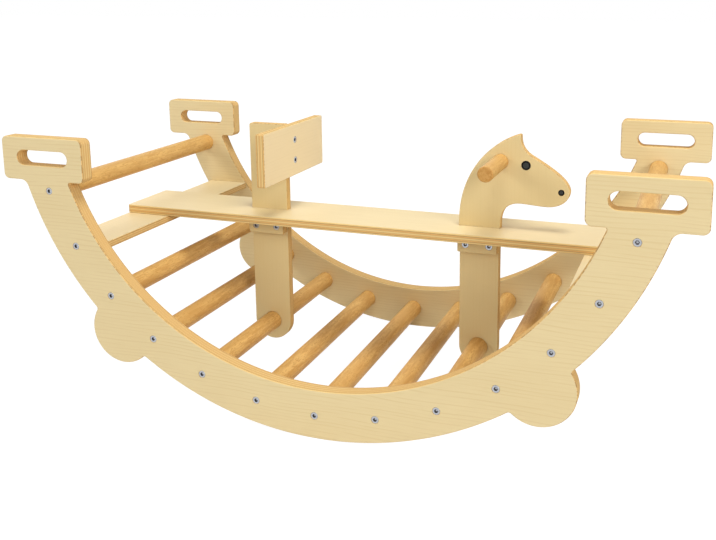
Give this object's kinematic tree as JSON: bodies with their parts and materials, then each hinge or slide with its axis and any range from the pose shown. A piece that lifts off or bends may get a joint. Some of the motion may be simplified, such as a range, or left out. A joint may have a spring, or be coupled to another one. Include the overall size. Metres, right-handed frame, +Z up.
{
  "type": "climbing arch",
  "caption": "Wooden climbing arch on curved side panels, used as a rocker, with rungs, a seat plank, a backrest and a horse head with a hand grip.",
  "frame": {"origin": "on the floor under the middle of the rocker, at the bottom centre of the whole object's box", "axes": "+X along the rocker from the backrest towards the horse's nose, +Y across it from the front panel to the rear one, +Z up"},
  "size_m": [1.1002, 0.5, 0.4431],
  "materials": {
    "panel_plywood": "birch plywood under clear satin lacquer",
    "seat_plywood": "pale birch plywood under clear satin lacquer",
    "rung_beech": "turned honey-brown hardwood under clear lacquer",
    "zinc_bolt": "bright zinc plate",
    "black_plug": "black moulded plastic"
  },
  "bodies": {
    "root": {"backrest_board": "seat_plywood", "backrest_bolt_lower": "zinc_bolt", "backrest_bolt_upper": "zinc_bolt", "backrest_post": "panel_plywood", "cleat_bolt_left_1": "zinc_bolt", "cleat_bolt_left_2": "zinc_bolt", "cleat_bolt_right_1": "zinc_bolt", "cleat_bolt_right_2": "zinc_bolt", "cleat_left": "panel_plywood", "cleat_right": "panel_plywood", "cross_board_left": "seat_plywood", "cross_board_right": "seat_plywood", "eye_front": "black_plug", "eye_rear": "black_plug", "front_bolt_01": "zinc_bolt", "front_bolt_02": "zinc_bolt", "front_bolt_03": "zinc_bolt", "front_bolt_04": "zinc_bolt", "front_bolt_05": "zinc_bolt", "front_bolt_06": "zinc_bolt", "front_bolt_07": "zinc_bolt", "front_bolt_08": "zinc_bolt", "front_bolt_09": "zinc_bolt", "front_bolt_10": "zinc_bolt", "front_bolt_11": "zinc_bolt", "front_bolt_12": "zinc_bolt", "front_bolt_13": "zinc_bolt", "hand_grip": "rung_beech", "horse_head": "panel_plywood", "nostril_front": "black_plug", "nostril_rear": "black_plug", "rear_bolt_01": "zinc_bolt", "rear_bolt_02": "zinc_bolt", "rear_bolt_03": "zinc_bolt", "rear_bolt_04": "zinc_bolt", "rear_bolt_05": "zinc_bolt", "rear_bolt_06": "zinc_bolt", "rear_bolt_07": "zinc_bolt", "rear_bolt_08": "zinc_bolt", "rear_bolt_09": "zinc_bolt", "rear_bolt_10": "zinc_bolt", "rear_bolt_11": "zinc_bolt", "rear_bolt_12": "zinc_bolt", "rear_bolt_13": "zinc_bolt", "rung_01": "rung_beech", "rung_02": "rung_beech", "rung_03": "rung_beech", "rung_04": "rung_beech", "rung_05": "rung_beech", "rung_06": "rung_beech", "rung_07": "rung_beech", "rung_08": "rung_beech", "rung_09": "rung_beech", "rung_10": "rung_beech", "rung_11": "rung_beech", "seat_plank": "seat_plywood", "side_panel_front": "panel_plywood", "side_panel_rear": "panel_plywood"}
  },
  "joints": []
}
